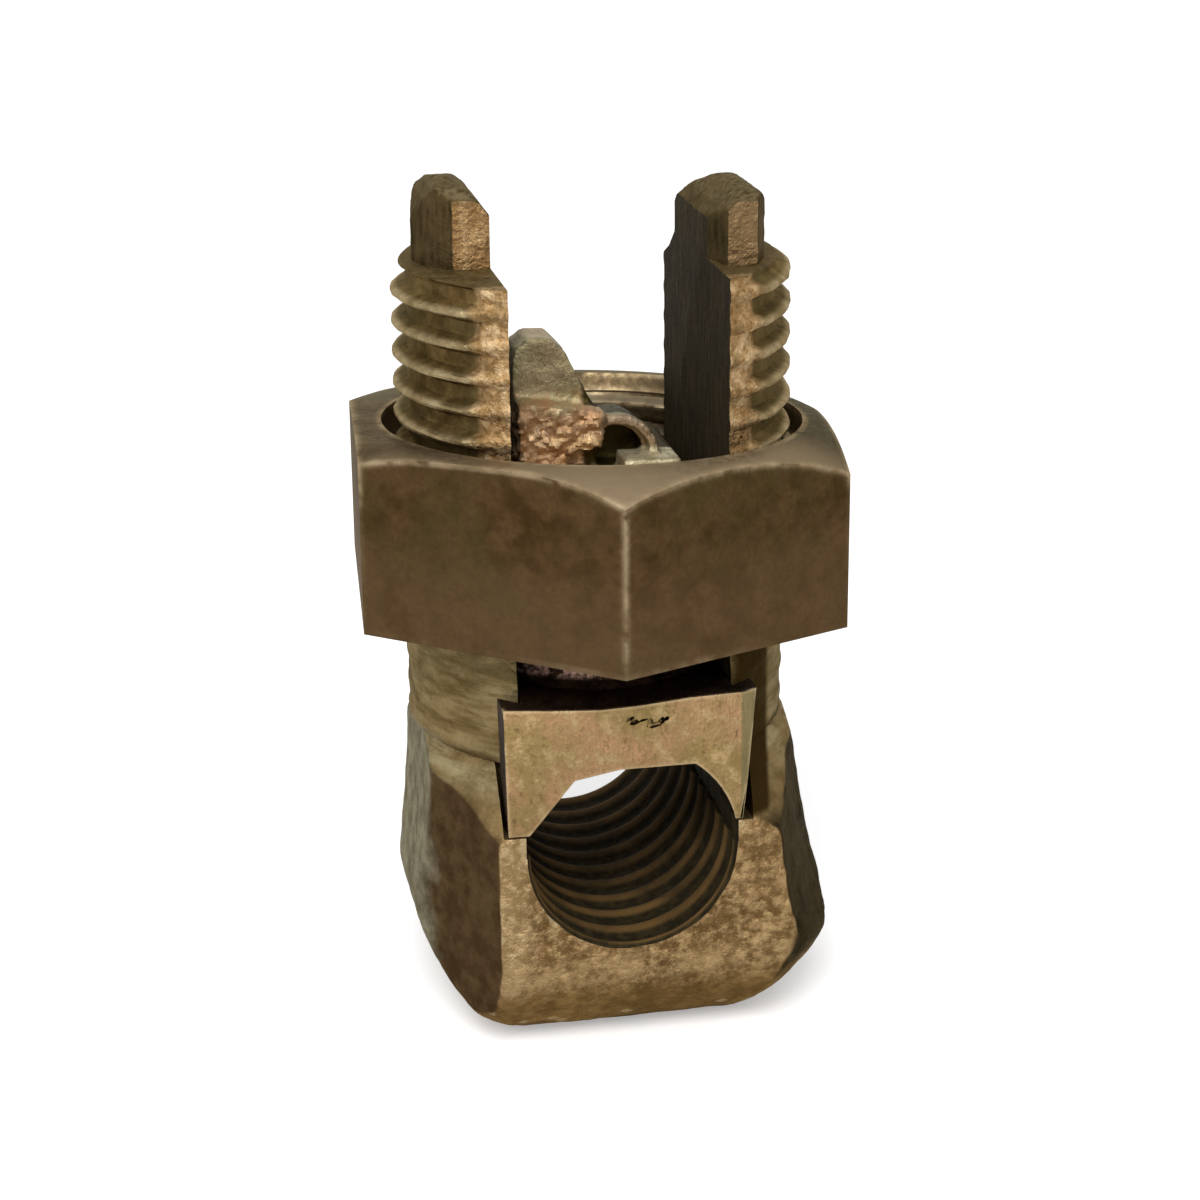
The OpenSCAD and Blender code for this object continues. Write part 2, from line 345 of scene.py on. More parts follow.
def cloud(tree, place, scale, detail, rough=0.5, stretch=None):
    """A cloudy pattern; stretch squeezes it in X, Y and Z, which gives streaks."""
    if stretch:
        place = lay(tree, "ShaderNodeVectorMath", {0: place, 1: stretch}, operation="MULTIPLY").outputs[0]
    fineness = {"Vector": place, "Scale": scale, "Detail": detail, "Roughness": rough}
    return lay(tree, "ShaderNodeTexNoise", fineness).outputs[0]


def coat(tree, under, over, share):
    """One colour laid over another, as far as the mask says."""
    node = lay(tree, "ShaderNodeMix", data_type="RGBA")
    for name, kind, value in (("Factor", "VALUE", share), ("A", "RGBA", under), ("B", "RGBA", over)):
        socket = next(i for i in node.inputs if i.name == name and i.type == kind)
        if isinstance(value, bpy.types.NodeSocket):
            tree.links.new(value, socket)
        else:
            socket.default_value = (*value, 1) if kind == "RGBA" else value
    return next(o for o in node.outputs if o.type == "RGBA")


def level(tree, under, over, share):
    """One number laid over another, as far as the mask says."""
    return lay(tree, "ShaderNodeMix", {"Factor": share, "A": under, "B": over}).outputs[0]


def group_of(name, inputs, outputs):
    """An empty shared effect with its sockets; returns it with its two ends."""
    group = bpy.data.node_groups.new(name, "ShaderNodeTree")
    for socket, value in inputs.items():
        made = group.interface.new_socket(socket, in_out="INPUT", socket_type="NodeSocketFloat")
        made.default_value = value
    for socket in outputs:
        group.interface.new_socket(socket, in_out="OUTPUT", socket_type="NodeSocketFloat")
    return group, group.nodes.new("NodeGroupInput"), group.nodes.new("NodeGroupOutput")


# where handling has rubbed edges bright, in ragged stretches: sharp ones, and outer ones of a fine skin
rubbed, start, end = group_of("rubbed_edges", {"Reach": 0.0003}, ["Sharp", "Outer"])
eased = lay(rubbed, "ShaderNodeBevel", {"Radius": start.outputs["Reach"]}, samples=4)
shape = lay(rubbed, "ShaderNodeNewGeometry")
same = lay(rubbed, "ShaderNodeVectorMath", {0: eased.outputs[0], 1: shape.outputs["Normal"]},
           operation="DOT_PRODUCT").outputs["Value"]
spot = lay(rubbed, "ShaderNodeTexCoord").outputs["Object"]
skips = span(rubbed, cloud(rubbed, spot, 900.0, 4.0), 0.28, 0.5)
sharp = times(rubbed, span(rubbed, same, 0.999, 0.955), skips)
rubbed.links.new(sharp, end.inputs["Sharp"])
outer = times(rubbed, span(rubbed, shape.outputs["Pointiness"], 0.54, 0.62), skips)
rubbed.links.new(outer, end.inputs["Outer"])

# the uneven colour of old bronze, at three sizes
tarnish, start, end = group_of("tarnish", {"Size": 1.0}, ["Broad", "Middle", "Fine"])
spot = lay(tarnish, "ShaderNodeTexCoord").outputs["Object"]
spot = lay(tarnish, "ShaderNodeVectorMath", {0: spot, "Scale": start.outputs["Size"]},
           operation="SCALE").outputs[0]
for name, scale, rough in (("Broad", 260, 0.55), ("Middle", 850, 0.6), ("Fine", 3600, 0.65)):
    tarnish.links.new(span(tarnish, cloud(tarnish, spot, scale, 5.0, rough), 0.34, 0.66), end.inputs[name])


def finish_of(name, piece, size=1.0, reach=0.0003):
    """Starts a finish for a piece: returns its tree, its shader and the two shared effects."""
    finish = bpy.data.materials.new(name)
    finish.use_nodes = True
    piece.data.materials.clear()
    piece.data.materials.append(finish)
    tree = finish.node_tree
    shader = tree.nodes["Principled BSDF"]
    shader.inputs["Specular IOR Level"].default_value = 0.2
    age = lay(tree, "ShaderNodeGroup", node_tree=tarnish)
    age.inputs["Size"].default_value = size
    edge = lay(tree, "ShaderNodeGroup", node_tree=rubbed)
    edge.inputs["Reach"].default_value = reach
    return tree, shader, age.outputs, edge.outputs


def place_on(tree):
    """A point's place, its normal without signs, and its distance from the bolt's axis."""
    at = lay(tree, "ShaderNodeTexCoord").outputs
    place = lay(tree, "ShaderNodeSeparateXYZ", {0: at["Object"]}).outputs
    normal = lay(tree, "ShaderNodeVectorMath", {0: at["Normal"]}, operation="ABSOLUTE").outputs[0]
    normal = lay(tree, "ShaderNodeSeparateXYZ", {0: normal}).outputs
    flat = lay(tree, "ShaderNodeVectorMath", {0: at["Object"], 1: (1, 1, 0)}, operation="MULTIPLY").outputs[0]
    radius = lay(tree, "ShaderNodeVectorMath", {0: flat}, operation="LENGTH").outputs["Value"]
    return at, place, normal, radius


def finished(tree, shader, colour, metal, rough, grain, strength, depth):
    """Joins a finish to its shader, with a bump from the grain; depth is in millimetres."""
    bump = lay(tree, "ShaderNodeBump", {"Strength": strength, "Distance": depth * mm, "Height": grain})
    tree.links.new(colour, shader.inputs["Base Color"])
    tree.links.new(metal, shader.inputs["Metallic"])
    tree.links.new(rough, shader.inputs["Roughness"])
    tree.links.new(bump.outputs[0], shader.inputs["Normal"])


def smoothed(piece, degrees):
    """Shades a piece smooth, apart from edges sharper than this angle."""
    picked(piece)
    bpy.ops.object.shade_smooth_by_angle(angle=math.radians(degrees))


tree, shader, age, edge = finish_of("forged_bronze", bolt)
at, (x, y, z), (nx, ny, _), radius = place_on(tree)
_, front, upward = lay(tree, "ShaderNodeSeparateXYZ", {0: at["Normal"]}).outputs
lumps = span(tree, cloud(tree, at["Object"], 1900.0, 3.0, 0.6), 0.38, 0.72)
drawn = span(tree, cloud(tree, at["Object"], 2400.0, 4.0, stretch=(1, 1, 0.16)), 0.36, 0.66)
bands = span(tree, cloud(tree, at["Object"], 900.0, 5.0, 0.65, (0.3, 0.3, 1.5)), 0.36, 0.66)
# the head: dark forging skin on the slanted corners, painted shade on the right, a painted grey reflection on
# the left side, brassy front and back, brown foot
skin = coat(tree, (0.05, 0.028, 0.011), (0.1, 0.062, 0.028), age["Middle"])
skin = coat(tree, skin, (0.085, 0.04, 0.024), times(tree, age["Broad"], age["Fine"], 0.5))
# the right side: dark patina, darkened further as painted shade on the side turned from the lamp
right_patina_and_shade = coat(tree, (0.011, 0.008, 0.004), (0.034, 0.026, 0.013), age["Middle"])
right_patina_and_shade = coat(tree, right_patina_and_shade, (0.06, 0.038, 0.017), times(tree, age["Broad"], age["Fine"], 0.7))
skin = coat(tree, skin, right_patina_and_shade, span(tree, x, 4 * mm, 8 * mm))
# a painted reflection of the pale surround, grey on the head's left side
reflected_grey_left = coat(tree, (0.14, 0.126, 0.08), (0.27, 0.25, 0.17), age["Middle"])
reflected_grey_left = coat(tree, reflected_grey_left, (0.1, 0.066, 0.032), times(tree, age["Broad"], age["Fine"], 0.65))
drift = plus(tree, y, age["Broad"], 1.4 * mm)
on_left = times(tree, span(tree, drift, -4.9 * mm, -3.4 * mm), span(tree, x, -5 * mm, -7 * mm))
skin = coat(tree, skin, reflected_grey_left, on_left)
bright = coat(tree, (0.15, 0.085, 0.031), (0.3, 0.188, 0.084), age["Middle"])
bright = coat(tree, bright, (0.56, 0.39, 0.19), times(tree, lumps, 0.62))
bright = coat(tree, bright, (0.085, 0.044, 0.014), times(tree, age["Broad"], age["Fine"], 0.8))
bright = coat(tree, bright, (0.12, 0.068, 0.022), times(tree, span(tree, lumps, 0.4, 0.05), age["Fine"], 0.6))
worn = times(tree, span(tree, x, -4.6 * mm, -6.2 * mm), span(tree, z, 1.5 * mm, 3 * mm))
scuffed = coat(tree, (0.3, 0.2, 0.09), (0.5, 0.36, 0.2), lumps)
bright = coat(tree, bright, scuffed, times(tree, worn, 0.8))
ridge = times(tree, span(tree, z, 5.6 * mm, 4.9 * mm), span(tree, z, 3.4 * mm, 4.3 * mm), age["Middle"])
bright = coat(tree, bright, (0.42, 0.29, 0.14), times(tree, ridge, 0.6))
foot = coat(tree, (0.17, 0.095, 0.03), (0.3, 0.18, 0.065), age["Middle"])
foot = coat(tree, foot, (0.1, 0.058, 0.018), times(tree, age["Broad"], 0.7))
foot = coat(tree, bright, foot, times(tree, span(tree, z, 4.4 * mm, 2.6 * mm), 0.85))
faces = span(tree, ny, 0.72, 0.9)
under = span(tree, upward, -0.3, -0.7)
bare = either(tree, faces, under)
colour = coat(tree, skin, foot, bare)
# the cone that turning left above the head, with a painted highlight round its upper part
cone = times(tree, span(tree, upward, 0.2, 0.4), span(tree, z, 11.6 * mm, 12.6 * mm),
             span(tree, z, 16.2 * mm, 15.4 * mm))
turned_skin = coat(tree, (0.13, 0.085, 0.034), (0.23, 0.16, 0.07), age["Middle"])
# the pale band is a painted highlight
cone_highlight = times(tree, span(tree, z, 13.4 * mm, 14.6 * mm), bands, 0.8)
turned_skin = coat(tree, turned_skin, (0.38, 0.32, 0.18), cone_highlight)
colour = coat(tree, colour, turned_skin, cone)
# the thread: olive-brown valleys, thin pale crests, copper-bright wear on the corners beside the slot
legs = span(tree, z, 15.2 * mm, 15.9 * mm)
crest = times(tree, span(tree, radius, 9.6 * mm, 9.98 * mm), span(tree, z, 21 * mm, 23 * mm))
thread = coat(tree, (0.075, 0.044, 0.014), (0.2, 0.13, 0.048), age["Middle"])
thread = coat(tree, thread, (0.11, 0.086, 0.034), times(tree, age["Broad"], 0.7))
thread = coat(tree, thread, coat(tree, (0.24, 0.175, 0.085), (0.42, 0.33, 0.19), age["Middle"]), crest)
beside = unsigned(tree, x)
corner = times(tree, span(tree, beside, 7.5 * mm, 6.6 * mm), span(tree, y, -6.2 * mm, -6.5 * mm), legs)
copper = coat(tree, (0.22, 0.12, 0.042), (0.46, 0.29, 0.135), age["Fine"])
thread = coat(tree, thread, copper, times(tree, corner, 0.9))
dulled = times(tree, corner, bands, span(tree, age["Middle"], 0.7, 0.2), 0.6)
thread = coat(tree, thread, (0.13, 0.085, 0.03), dulled)
thread = coat(tree, thread, (0.68, 0.52, 0.31), times(tree, corner, lumps, age["Middle"], 0.8))
shank = coat(tree, (0.13, 0.085, 0.031), (0.26, 0.185, 0.082), bands)
shank = coat(tree, shank, (0.13, 0.11, 0.05), times(tree, age["Broad"], 0.5))
shank = coat(tree, shank, (0.4, 0.32, 0.18), times(tree, bands, age["Middle"], 0.35))
thread = coat(tree, shank, thread, span(tree, z, 20 * mm, 23 * mm))
colour = coat(tree, colour, thread, legs)
# a painted shadow that the bar casts on the legs beside it
aside = plus(tree, x, y, -0.2)
bar_shadow = times(tree, span(tree, aside, 9.15 * mm, 8.85 * mm), span(tree, x, 5 * mm, 6 * mm),
               span(tree, y, -3 * mm, -5 * mm), span(tree, z, 12.2 * mm, 12.6 * mm),
               span(tree, z, 21.5 * mm, 20.5 * mm))
colour = coat(tree, colour, (0.032, 0.018, 0.004), bar_shadow)
# the tips: dark, with copper-bright filed fronts
tips = span(tree, z, 39.2 * mm, 39.4 * mm)
tip = coat(tree, (0.034, 0.023, 0.009), (0.085, 0.057, 0.026), drawn)
tip = coat(tree, tip, (0.1, 0.07, 0.03), times(tree, age["Middle"], 0.6))
tip = coat(tree, tip, (0.19, 0.15, 0.08), times(tree, span(tree, upward, 0.35, 0.8), age["Fine"], 0.75))
filed = coat(tree, (0.26, 0.15, 0.062), (0.46, 0.31, 0.155), drawn)
filed = coat(tree, filed, (0.2, 0.11, 0.04), times(tree, age["Middle"], 0.5))
filed = coat(tree, filed, (0.17, 0.11, 0.054), times(tree, span(tree, x, -1 * mm, 1 * mm), 0.85))
tip = coat(tree, tip, filed, times(tree, span(tree, front, -0.82, -0.93), span(tree, z, 43 * mm, 42.2 * mm)))
colour = coat(tree, colour, tip, tips)
# the head's edges rubbed bright
rubbed_head = times(tree, edge["Outer"], bare, span(tree, z, 16 * mm, 15 * mm), 0.7)
colour = coat(tree, colour, (0.45, 0.34, 0.19), rubbed_head)
# the slot's walls and the saddle are nearly black: grime, darkened further as painted shade
wall = times(tree, span(tree, nx, 0.9, 0.97), span(tree, beside, 5.5 * mm, 5.43 * mm),
             span(tree, z, 11.5 * mm, 12 * mm))
bed = lay(tree, "ShaderNodeVectorMath", {0: at["Object"], 1: (0, 0, saddle_z * mm)}, operation="SUBTRACT")
bed = lay(tree, "ShaderNodeVectorMath", {0: bed.outputs[0], 1: (1, 0, 1)}, operation="MULTIPLY")
bed = lay(tree, "ShaderNodeVectorMath", {0: bed.outputs[0]}, operation="LENGTH").outputs["Value"]
saddle = times(tree, span(tree, bed, 5.5 * mm, 5.42 * mm), span(tree, z, 12.4 * mm, 12 * mm),
               span(tree, ny, 0.97, 0.8))
# soot with painted shade on the slot walls and the saddle
soot_and_shade = coat(tree, (0.016, 0.012, 0.006), (0.036, 0.026, 0.011), drawn)
colour = coat(tree, colour, soot_and_shade, wall)
scraped = times(tree, span(tree, bed, 5.3 * mm, 5.14 * mm), level(tree, 0.3, 1.0, age["Broad"]))
rib = coat(tree, soot_and_shade, (0.16, 0.09, 0.03), scraped)
colour = coat(tree, colour, rib, saddle)
dull = either(tree, wall, saddle)
polish = either(tree, bare, times(tree, legs, crest))
metal = level(tree, level(tree, 0.86, 0.96, polish), 0.3, dull)
rough = level(tree, level(tree, 0.55, 0.42, polish), 0.75, dull)
rough = plus(tree, rough, age["Fine"], 0.14)
grain = times(tree, plus(tree, age["Fine"], lumps, 1.8), level(tree, 0.35, 1.0, bare))
glint = (0.6, 0.55, 0.45, 1)
shader.inputs["Specular Tint"].default_value = glint
finished(tree, shader, colour, metal, rough, grain, 0.8, 0.035)

smoothed(bolt, 38)
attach(bolt, "bolt")
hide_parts("bolt_body")

# ----------------------------------------------------------------------------
# Hexagon nut. Machined from bronze bar, 15/16 inch across the flats, faced and
# chamfered on top and tapped through; a groove inside holds the bar's flange.
# ----------------------------------------------------------------------------
nut_low, nut_high = (corner[2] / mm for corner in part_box("hex_nut"))
across_flats = 25.4 * 15 / 16
nut_corner = across_flats / math.sqrt(3)
nut_face = 30.94
bpy.ops.object.select_all(action="DESELECT")
bpy.ops.mesh.primitive_cylinder_add(vertices=6, radius=nut_corner * mm, depth=(nut_high - nut_low) * mm,
                                    location=(0, 0, (nut_high + nut_low) / 2 * mm))
nut = bpy.context.object
nut.name = nut.data.name = "hexagon_nut"
bpy.ops.object.mode_set(mode="EDIT")
bpy.ops.mesh.select_all(action="SELECT")
bpy.ops.transform.rotate(value=math.radians(4.5), orient_axis="Z", center_override=(0, 0, 0))
bpy.ops.object.mode_set(mode="OBJECT")
bpy.ops.object.transform_apply(location=True)
for vertex in nut.data.vertices:
    out = vertex.co.x + 1 * mm
    vertex.co.x += out * (0.02 if out < 0 else 0.01)
    if vertex.co.z < (nut_low + 1) * mm:
        vertex.co.z -= 0.2 * mm + 0.033 * vertex.co.x - 0.02 * vertex.co.y
# what the lathe left: a rounded chamfer, set a little off the axis and sloping as the top does
chamfer = [(nut_corner + 2, 28.05), (14, 29.5), (13.4, 29.97), (12.8, 30.37), (12.3, 30.64), (11.8, 30.83),
           (11.2, 30.92), (10.6, nut_face)]
facing = turned("facing", [(0, nut_low - 1), (nut_corner + 2, nut_low - 1)] + chamfer + [(0, nut_face)],
                centre=(-0.75, 0.3, 0))
for vertex in facing.data.vertices:
    vertex.co.x *= 1.055 if vertex.co.x < 0 else 1.03
    if vertex.co.z > (nut_low + 1) * mm:
        vertex.co.z -= 0.02 * vertex.co.x + 0.042 * vertex.co.y
nut = worked(nut, facing, "INTERSECT")


def bevelled(piece, width, segments, degrees):
    """Rounds the edges of a piece that are sharper than this angle."""
    edges = piece.modifiers.new("edges", "BEVEL")
    edges.width = width * mm
    edges.segments = segments
    edges.limit_method = "ANGLE"
    edges.angle_limit = math.radians(degrees)
    bpy.context.view_layer.objects.active = piece
    bpy.ops.object.modifier_apply(modifier=edges.name)


bevelled(nut, 0.36, 4, 22)
tap_r = crest_r + 0.12
nut = worked(nut, threaded("tap", nut_low - 1, nut_high + 1, (75,),
                           lambda x, y, z: tap_r - 0.5 * thread_valley(x, y, z)))
groove_r, groove_low, groove_high = 10.81, 22.6, 24.3
nut = worked(nut, turned("flange_groove", [(0, groove_low), (groove_r, groove_low), (groove_r, groove_high),
                                           (0, groove_high)]))
nut = worked(nut, turned("countersink", [(0, 29.4), (9.6, 29.4), (10.2, 29.6), (10.7, 30.6), (10.7, 33),
                                         (0, 33)]))

tree, shader, age, edge = finish_of("nut_bronze", nut, 0.8, 0.0006)
at, (x, y, z), (_, _, nz), radius = place_on(tree)
brown = coat(tree, (0.048, 0.025, 0.008), (0.098, 0.056, 0.022), age["Middle"])
brown = coat(tree, brown, (0.075, 0.055, 0.019), times(tree, age["Broad"], 0.75))
brown = coat(tree, brown, (0.1, 0.047, 0.024), times(tree, age["Fine"], age["Middle"], 0.6))
brown = coat(tree, brown, (0.036, 0.02, 0.008), times(tree, age["Fine"], 0.3))
brown = coat(tree, brown, (0.14, 0.083, 0.04), times(tree, span(tree, z, 28.5 * mm, 24 * mm), 0.4))
# the top faces: greyer brown, darker towards the right, lighter at the back as a painted reflection of the
# lit surround, paler towards the front
tops = coat(tree, (0.085, 0.061, 0.033), (0.14, 0.105, 0.06), age["Middle"])
tops = coat(tree, tops, (0.045, 0.04, 0.024), times(tree, span(tree, x, 5 * mm, 9 * mm), 0.75))
# painted light on the back of the top
lit_back = times(tree, span(tree, y, 4 * mm, 8 * mm), span(tree, x, 8 * mm, 5 * mm))
tops = coat(tree, tops, (0.135, 0.11, 0.07), lit_back)
tops = coat(tree, tops, (0.27, 0.2, 0.12), times(tree, span(tree, y, -5 * mm, -9 * mm), 0.8))
brown = coat(tree, brown, tops, span(tree, nz, 0.35, 0.62))
# painted shade inside the tapped hole: its walls a flat dark brown
inside = times(tree, span(tree, radius, 10.9 * mm, 10.7 * mm), span(tree, nz, 0.45, 0.3))
brown = coat(tree, brown, (0.07, 0.045, 0.02), inside)
# edges rubbed by hands and spanners, most along the top and at the front corners
handled = either(tree, span(tree, z, 28.4 * mm, 29 * mm), span(tree, unsigned(tree, x), 6 * mm, 4 * mm))
handled = times(tree, edge["Sharp"], level(tree, 0.15, 0.9, handled),
                level(tree, 0.35, 1.0, span(tree, z, 22 * mm, 23.5 * mm)))
colour = coat(tree, brown, coat(tree, (0.27, 0.19, 0.1), (0.5, 0.39, 0.24), age["Middle"]), handled)
metal = level(tree, 0.85, 0.95, edge["Sharp"])
rough = plus(tree, 0.42, age["Fine"], 0.16)
grain = plus(tree, age["Middle"], cloud(tree, at["Object"], 1900.0, 5.0, stretch=(0.35, 0.35, 2.4)), 0.8)
shader.inputs["Specular Tint"].default_value = glint
finished(tree, shader, colour, metal, rough, grain, 0.7, 0.02)

smoothed(nut, 30)
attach(nut, "nut")
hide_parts("hex_nut")

# ----------------------------------------------------------------------------
# Pressure bar. A sawn block of red bronze that straddles the slot, with an arch
# below for the wires. Its neck and flange hang it in the nut, and above them
# stand the torn remains of its post: a tongue, a rough lump, an eye and a ledge.
# ----------------------------------------------------------------------------
bar_z, bar_top = 12.3, 19.1
bar_end = 9.8
bar = sawn("pressing_bar", [(5.65, bar_z), (6.4, bar_top), (2.9, 19.0), (0.4, 18.78), (-1.6, 18.7),
                            (-4, 18.85), (-6.42, 19.05), (-6.27, bar_z)], "Y", -bar_end, bar_end)
# the right front edge, filed off at a slant
bar = worked(bar, sawn("edge_file", [(5.4, -9.81), (6, -9.81), (6, -9.4)], "Z", bar_z - 0.1, bar_top + 0.2,
                       [(5.6, -9.81), (6.7, -9.81), (6.7, -9.2)]))
# the arch for the wires, hollowed further on the left
rise = saddle_z + 4.35
notch = [(-5.3, bar_z - 1), (5.25, bar_z - 1)]
notch += arc(0, saddle_z, 5.4, 12.8, 53.7, 8) + [(-0.6, rise), (-2.9, rise - 0.4), (-5.2, bar_z)]
bar = worked(bar, sawn("arch_cutter", notch, "Y", -11, 11))
bevelled(bar, 0.12, 2, 30)
# hollows that clear the legs' thread on both sides
half_between = 5.3
for side in (-1, 1):
    near, far = sorted((half_between * side, 12 * side))
    relief = turned("leg_relief", [(0, 11), (tap_r, 11), (tap_r, 20), (0, 20)])
    relief = worked(relief, block("beside_slot", (near, -12, 10), (far, 12, 21)), "INTERSECT")
    bar = worked(bar, relief)
# a ragged row of small chips on the front face, near the top
chips = ((-0.1, 18.1, 0.2, 0.12), (0.12, 17.93, 0.26, 0.17), (0.55, 18.0, 0.22, 0.07),
         (0.9, 17.84, 0.18, 0.27), (1.15, 17.72, 0.36, 0.19), (1.47, 17.9, 0.21, 0.19),
         (1.72, 17.99, 0.17, 0.1))
for x, z, long, tall in chips:
    bpy.ops.object.select_all(action="DESELECT")
    bpy.ops.mesh.primitive_ico_sphere_add(subdivisions=2, radius=mm, location=(x * mm, -bar_end * mm, z * mm))
    chip = bpy.context.object
    for vertex in chip.data.vertices:
        uneven = 1 + 0.5 * noise.noise(vertex.co / mm * 1.5 + Vector((x, z, 0)) * 7)
        across, into, up = vertex.co
        vertex.co = Vector((across * long, into * 0.26, up * tall + across * 0.05)) * uneven
    bpy.ops.object.transform_apply(location=True)
    bar = worked(bar, chip)


def between_flats(name, radius, half, low, high):
    """A slice of round bar that fits between the legs."""
    disc = turned(name, [(0, low), (radius, low), (radius, high), (0, high)])
    flats = block("flats", (-half, -radius - 1, low - 1), (half, radius + 1, high + 1))
    return worked(disc, flats, "INTERSECT")


flange_r, flange_low, flange_high = 10.68, 22.65, 24.25
neck = between_flats("neck", 7.2, half_between, bar_top - 1, 22.7)
bar = worked(bar, softened(neck, 0.2, 3, ((1.0, 0.25), (0.4, 0.12))), "UNION")
bar = worked(bar, between_flats("flange", flange_r, half_between, flange_low, flange_high), "UNION")
# the post's remains, joined under one torn skin
eye_x, eye_z = 0.85, 29.35
remains = [
    between_flats("stump", 8, 4.5, 24.2, 28.65),
    sawn("tongue", [(-4.3, 27), (-0.3, 27), (0.1, 31.6), (-0.4, 32.2), (-1.0, 33.5), (-1.6, 34.7),
                    (-2.3, 35.35), (-3.4, 35.4), (-4.1, 34.9), (-4.3, 34.0)], "Y", -1.3, 1.4),
    sawn("lump", [(-4.2, 27.4), (-1.9, 27.4), (-1.9, 29.8), (0.1, 30.0), (0.2, 31.75), (-1.2, 32.05),
                  (-4.2, 32.45)], "Y", -2.7, -1.2),
    sawn("eye", arc(eye_x, eye_z, 2.15, -25, 150, 14) + arc(eye_x, eye_z, 1.7, 150, -25, 14),
         "Y", -2.3, -1.5),
    sawn("eye_side", arc(eye_x, eye_z, 1.95, -25, 150, 14) + arc(eye_x, eye_z, 1.45, 150, -25, 14),
         "Y", -1.6, 0.9),
    sawn("eye_back", arc(eye_x, eye_z, 1.8, -25, 205, 14), "Y", 0, 0.9),
    sawn("ledge", [(0.95, 27.4), (3.9, 27.4), (3.9, 29.42), (0.95, 29.5)], "Y", -3.6, -1.2),
]
picked(remains[0])
for part in remains:
    part.select_set(True)
bpy.ops.object.join()
post = softened(remains[0], 0.14, 3, ((1.2, 0.14),))
outward = [vertex.normal.copy() for vertex in post.data.vertices]
for vertex, normal in zip(post.data.vertices, outward):
    x, y, z = vertex.co / mm
    tearing = kept_in((32.6 - z) / 1.2) * kept_in((0.6 - x) / 0.8) * kept_in((-y - 0.9) / 0.6)
    vertex.co += normal * mm * 0.26 * tearing * noise.fractal(Vector((x, y, z)) * 1.9, 0.6, 2.2, 3)
bar = worked(bar, post, "UNION")

tree, shader, age, edge = finish_of("bar_bronze", bar, 1.1, 0.0003)
at, (x, y, z), (_, ny, _), _ = place_on(tree)
_, front, _ = lay(tree, "ShaderNodeSeparateXYZ", {0: at["Normal"]}).outputs
outside = unsigned(tree, y)
strokes = span(tree, cloud(tree, at["Object"], 1500.0, 5.0, 0.65, (3.2, 1, 0.3)), 0.36, 0.64)
# the block: filed reddish faces at both ends; near-black grime everywhere else, deepened as painted shade
face = coat(tree, (0.27, 0.172, 0.073), (0.37, 0.245, 0.112), strokes)
face = coat(tree, face, (0.54, 0.29, 0.16), times(tree, age["Broad"], age["Middle"], 0.85))
face = coat(tree, face, (0.3, 0.215, 0.08), times(tree, span(tree, age["Broad"], 0.5, 0.1), 0.6))
face = coat(tree, face, (0.56, 0.4, 0.21), times(tree, span(tree, age["Middle"], 0.5, 0.1), age["Fine"], 0.7))
face = coat(tree, face, (0.45, 0.33, 0.16), times(tree, age["Fine"], age["Broad"], 0.5))
face = coat(tree, face, (0.12, 0.072, 0.026), times(tree, age["Middle"], age["Fine"], strokes, 0.8))
face = coat(tree, face, (0.2, 0.165, 0.075), times(tree, span(tree, x, 5.45 * mm, 5.6 * mm), 0.85))
# grime and painted shade in one near-black colour
grime_and_shade = coat(tree, (0.009, 0.005, 0.003), (0.035, 0.019, 0.01), age["Middle"])
ends = times(tree, span(tree, ny, 0.6, 0.8), span(tree, outside, 8.4 * mm, 8.8 * mm))
colour = coat(tree, grime_and_shade, face, ends)
# the neck between block and nut: dark grime with painted shade, with copper showing through in specks
neck = times(tree, span(tree, z, 19.2 * mm, 19.6 * mm), span(tree, z, 25 * mm, 24 * mm))
specks = times(tree, span(tree, age["Middle"], 0.3, 0.55), age["Fine"], span(tree, x, 5 * mm, 0 * mm))
colour = coat(tree, colour, coat(tree, (0.06, 0.033, 0.02), (0.95, 0.6, 0.48), specks), neck)
# the broken post: olive tongue, coppery torn lump, an eye with painted shade in its hollow and a painted
# highlight on its rim, bright ledge
olive = coat(tree, (0.24, 0.2, 0.105), (0.42, 0.36, 0.2), age["Middle"])
olive = coat(tree, olive, (0.36, 0.25, 0.16), times(tree, age["Broad"], 0.5))
torn = coat(tree, (0.4, 0.24, 0.11), (0.72, 0.53, 0.3), age["Middle"])
torn = coat(tree, torn, (0.55, 0.31, 0.2), times(tree, age["Broad"], 0.5))
torn = coat(tree, torn, (0.2, 0.09, 0.045), times(tree, age["Fine"], age["Middle"], 0.6))
tear = plus(tree, z, age["Middle"], 0.9 * mm)
torn_zone = times(tree, span(tree, y, -0.9 * mm, -1.4 * mm), span(tree, tear, 33.1 * mm, 32.3 * mm),
                  span(tree, x, 0.6 * mm, 0.2 * mm))
olive = coat(tree, olive, torn, torn_zone)
# a painted highlight along the eye's front rim
rim_highlight = times(tree, span(tree, x, -0.2 * mm, 0.3 * mm), span(tree, y, -1.3 * mm, -1.6 * mm),
            span(tree, front, -0.1, -0.5))
# painted shade in the eye's hollow
hollow_shade = times(tree, span(tree, x, -0.9 * mm, -0.6 * mm), span(tree, y, -1.8 * mm, -1.4 * mm))
olive = coat(tree, olive, (0.06, 0.045, 0.014), hollow_shade)
olive = coat(tree, olive, coat(tree, (0.3, 0.21, 0.13), (0.55, 0.42, 0.28), age["Middle"]), rim_highlight)
ledge = times(tree, span(tree, x, 0.7 * mm, 1.1 * mm), span(tree, z, 29.9 * mm, 29.6 * mm),
              span(tree, y, -1.3 * mm, -1.6 * mm))
olive = coat(tree, olive, coat(tree, (0.4, 0.34, 0.2), (0.75, 0.66, 0.46), age["Middle"]), ledge)
